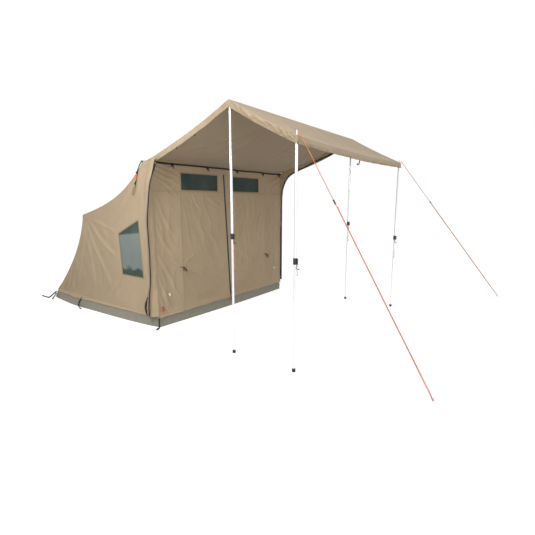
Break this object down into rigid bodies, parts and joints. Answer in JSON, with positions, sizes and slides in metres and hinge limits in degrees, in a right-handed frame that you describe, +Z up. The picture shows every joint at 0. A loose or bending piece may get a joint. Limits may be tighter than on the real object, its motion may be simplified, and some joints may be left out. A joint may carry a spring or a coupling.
{
  "type": "canvas wall tent",
  "caption": "Canvas tent with a fold-up frame, zipped doors, mesh windows and a pole-held awning with guy lines.",
  "frame": {"origin": "on the ground at the middle of the front wall's foot", "axes": "+X to the right along the front wall, +Y back into the tent, +Z up"},
  "size_m": [4.2511, 5.8437, 2.428],
  "materials": {
    "canvas": "tan woven canvas, matt",
    "awning_canvas": "tan woven canvas, matt",
    "pvc": "grey coated sheet, satin",
    "mesh": "dark green insect mesh",
    "zip": "black coil zip and tape",
    "orange": "braided orange cord",
    "aluminium": "drawn tube, satin",
    "plastic": "black moulded plastic",
    "rubber": "black moulded rubber",
    "steel": "plated steel rod"
  },
  "bodies": {
    "root": {"groundsheet": "pvc", "roof": "canvas", "rear_wall": "canvas", "front_wall": "canvas", "side_wall_left": "canvas", "side_wall_right": "canvas", "side_mesh_left": "mesh", "side_mesh_right": "mesh", "awning": "awning_canvas", "edge_zip_left": "zip", "edge_zip_right": "zip", "front_leg_left": "aluminium", "front_leg_right": "aluminium", "front_top_bar": "aluminium", "front_corner_left": "plastic", "front_corner_right": "plastic", "foot_bracket_left": "plastic", "foot_bracket_right": "plastic", "ridge_bar": "aluminium", "pole_upper_ridge_left": "aluminium", "pole_upper_ridge_right": "aluminium", "pole_upper_front_left": "aluminium", "pole_upper_front_right": "aluminium", "pole_clamp_ridge_left": "plastic", "pole_clamp_ridge_right": "plastic", "pole_clamp_front_left": "plastic", "pole_clamp_front_right": "plastic", "guy_line_left": "orange", "guy_line_right": "orange", "guy_runner_left": "plastic", "guy_runner_right": "plastic", "peg_left": "steel", "peg_right": "steel"},
    "rear_hoop": {"rear_top_bar": "aluminium", "rear_corner_left": "plastic", "rear_corner_right": "plastic", "rear_arm_left": "aluminium", "rear_arm_right": "aluminium"},
    "door_left_body": {"door_left": "canvas", "door_mesh_left": "mesh", "door_zip": "zip"},
    "door_right_body": {"door_right": "canvas", "door_mesh_right": "mesh"},
    "zip_slider_body": {"door_zip_slider": "orange"},
    "stay_front_left": {"stay_front_link_left": "aluminium"},
    "stay_rear_left": {"stay_rear_link_left": "aluminium"},
    "stay_front_right": {"stay_front_link_right": "aluminium"},
    "stay_rear_right": {"stay_rear_link_right": "aluminium"},
    "lower_pole_ridge_left": {"pole_lower_ridge_left": "aluminium", "pole_foot_ridge_left": "rubber"},
    "lower_pole_ridge_right": {"pole_lower_ridge_right": "aluminium", "pole_foot_ridge_right": "rubber"},
    "lower_pole_front_left": {"pole_lower_front_left": "aluminium", "pole_foot_front_left": "rubber"},
    "lower_pole_front_right": {"pole_lower_front_right": "aluminium", "pole_foot_front_right": "rubber"},
    "lever_ridge_left": {"clamp_lever_ridge_left": "plastic"},
    "lever_ridge_right": {"clamp_lever_ridge_right": "plastic"},
    "lever_front_left": {"clamp_lever_front_left": "plastic"},
    "lever_front_right": {"clamp_lever_front_right": "plastic"}
  },
  "joints": [
    {"name": "rear_fold", "type": "hinge", "parent": "root", "child": "rear_hoop", "pos_m": [0, 0.105, 0.06], "axis": [1, 0, 0], "range_deg": [0, 46], "deforming": ["roof", "rear_wall", "side_wall_left", "side_wall_right", "side_mesh_left", "side_mesh_right"]},
    {"name": "stay_front_left_pivot", "type": "hinge", "parent": "root", "child": "stay_front_left", "pos_m": [-1.2517, 0.12682, 1.76026], "axis": [1, 0, 0], "range_deg": [-63.2, 0]},
    {"name": "stay_knee_left_pivot", "type": "hinge", "parent": "stay_front_left", "child": "stay_rear_left", "pos_m": [-1.2484, 0.76673, 1.45719], "axis": [1, 0, 0], "range_deg": [0, 172.4]},
    {"name": "stay_front_right_pivot", "type": "hinge", "parent": "root", "child": "stay_front_right", "pos_m": [1.2517, 0.12682, 1.76026], "axis": [1, 0, 0], "range_deg": [-63.2, 0]},
    {"name": "stay_knee_right_pivot", "type": "hinge", "parent": "stay_front_right", "child": "stay_rear_right", "pos_m": [1.2484, 0.76673, 1.45719], "axis": [1, 0, 0], "range_deg": [0, 172.4]},
    {"name": "door_left_swing", "type": "hinge", "parent": "root", "child": "door_left_body", "pos_m": [-0.886, 0, 0], "axis": [0, 0, -1], "range_deg": [0, 110]},
    {"name": "door_right_swing", "type": "hinge", "parent": "root", "child": "door_right_body", "pos_m": [0.878, 0, 0], "axis": [0, 0, 1], "range_deg": [0, 110]},
    {"name": "zip_slide", "type": "slide", "parent": "door_left_body", "child": "zip_slider_body", "axis": [-0.0605, 0, 0.9982], "range_m": [0, 1.64]},
    {"name": "pole_slide_ridge_left", "type": "slide", "parent": "root", "child": "lower_pole_ridge_left", "axis": [0, 0, 1], "range_m": [0, 0.8]},
    {"name": "pole_slide_ridge_right", "type": "slide", "parent": "root", "child": "lower_pole_ridge_right", "axis": [0, 0, 1], "range_m": [0, 0.8]},
    {"name": "pole_slide_front_left", "type": "slide", "parent": "root", "child": "lower_pole_front_left", "axis": [0, 0, 1], "range_m": [0, 0.8]},
    {"name": "pole_slide_front_right", "type": "slide", "parent": "root", "child": "lower_pole_front_right", "axis": [0, 0, 1], "range_m": [0, 0.8]},
    {"name": "lever_ridge_left_pivot", "type": "hinge", "parent": "root", "child": "lever_ridge_left", "pos_m": [-1.322, -1.26188, 1.209], "axis": [-1, 0, 0], "range_deg": [0, 100]},
    {"name": "lever_ridge_right_pivot", "type": "hinge", "parent": "root", "child": "lever_ridge_right", "pos_m": [1.322, -1.26188, 1.209], "axis": [-1, 0, 0], "range_deg": [0, 100]},
    {"name": "lever_front_left_pivot", "type": "hinge", "parent": "root", "child": "lever_front_left", "pos_m": [-1.322, -1.9808, 1.034], "axis": [-1, 0, 0], "range_deg": [0, 100]},
    {"name": "lever_front_right_pivot", "type": "hinge", "parent": "root", "child": "lever_front_right", "pos_m": [1.322, -1.9808, 1.034], "axis": [-1, 0, 0], "range_deg": [0, 100]}
  ],
  "couplings": [
    {"joint": "stay_front_left_pivot", "follows": "rear_fold", "ratio": -1.3725},
    {"joint": "stay_knee_left_pivot", "follows": "rear_fold", "ratio": 3.7451},
    {"joint": "stay_front_right_pivot", "follows": "rear_fold", "ratio": -1.3725},
    {"joint": "stay_knee_right_pivot", "follows": "rear_fold", "ratio": 3.7451}
  ]
}
